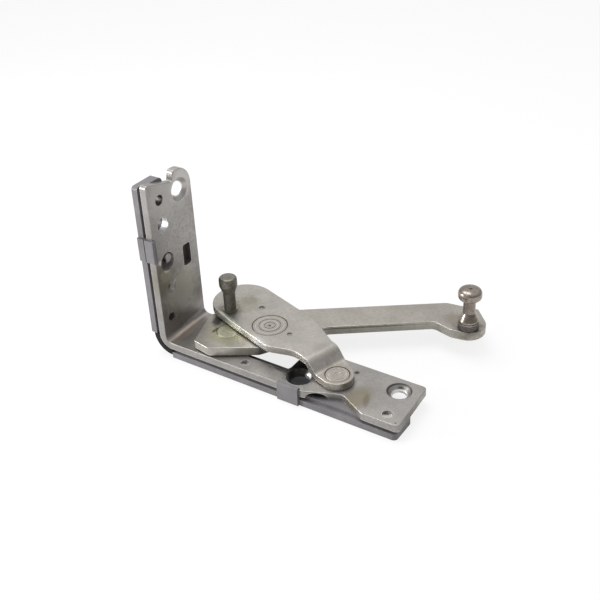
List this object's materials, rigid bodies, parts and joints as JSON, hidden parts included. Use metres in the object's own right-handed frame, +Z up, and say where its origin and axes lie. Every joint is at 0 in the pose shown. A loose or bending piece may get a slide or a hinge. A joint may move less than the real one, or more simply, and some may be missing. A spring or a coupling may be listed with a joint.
{
  "type": "window frame hinge",
  "caption": "Concealed corner hinge for a window frame: steel angle on plastic packers, with a pivoting lever and plate that carry the sash on a stud and a pin.",
  "frame": {"origin": "corner of the window frame's rebate, where the upright packer's back face and the base packer's underside would meet, at the near edge", "axes": "+X along the base arm to its free end, +Y across the arms to the side that the lever swings to, +Z up along the upright"},
  "size_m": [0.1343, 0.0907, 0.0879],
  "materials": {
    "pressed_steel": "satin plated pressed steel",
    "lever_steel": "satin plated steel, slightly warm",
    "plate_steel": "satin plated steel",
    "disc_steel": "turned steel disc with rings",
    "rivet_steel": "turned steel rivet",
    "yellow_steel": "yellow passivated steel rivet",
    "stud_steel": "polished turned steel",
    "pin_steel": "dark turned steel",
    "dark_steel": "dark steel collar",
    "peg_steel": "satin steel peg",
    "bush_brass": "plain bearing brass",
    "packer_plastic": "moulded grey plastic",
    "washer_plastic": "pale bearing plastic",
    "black_pad": "black elastic pad"
  },
  "bodies": {
    "frame_side": {"angle_bracket": "pressed_steel", "upright_packer": "packer_plastic", "base_packer": "packer_plastic", "corner_pad": "black_pad", "upright_packer_rivets": "peg_steel", "base_packer_rivets": "peg_steel", "lever_pivot_rivet": "yellow_steel", "lever_pivot_bush": "bush_brass", "lever_bearing_washer": "washer_plastic", "plate_pivot_rivet": "rivet_steel", "plate_pivot_bush": "bush_brass", "plate_bearing_washer": "washer_plastic"},
    "lever": {"carrying_lever": "lever_steel", "bearing_stud": "stud_steel", "stud_bush": "dark_steel"},
    "plate": {"control_plate": "plate_steel", "guide_disc": "disc_steel", "glide_pad": "washer_plastic", "glide_pad_rivets": "rivet_steel", "sash_pin": "pin_steel"}
  },
  "joints": [
    {"name": "lever_pivot", "type": "hinge", "parent": "frame_side", "child": "lever", "pos_m": [0.03283, 0.01616, 0.0108], "axis": [0, 0, 1], "range_deg": [-21, 60]},
    {"name": "plate_pivot", "type": "hinge", "parent": "frame_side", "child": "plate", "pos_m": [0.09315, 0.01423, 0.0102], "axis": [0, 0, 1], "range_deg": [-10, 8]}
  ]
}
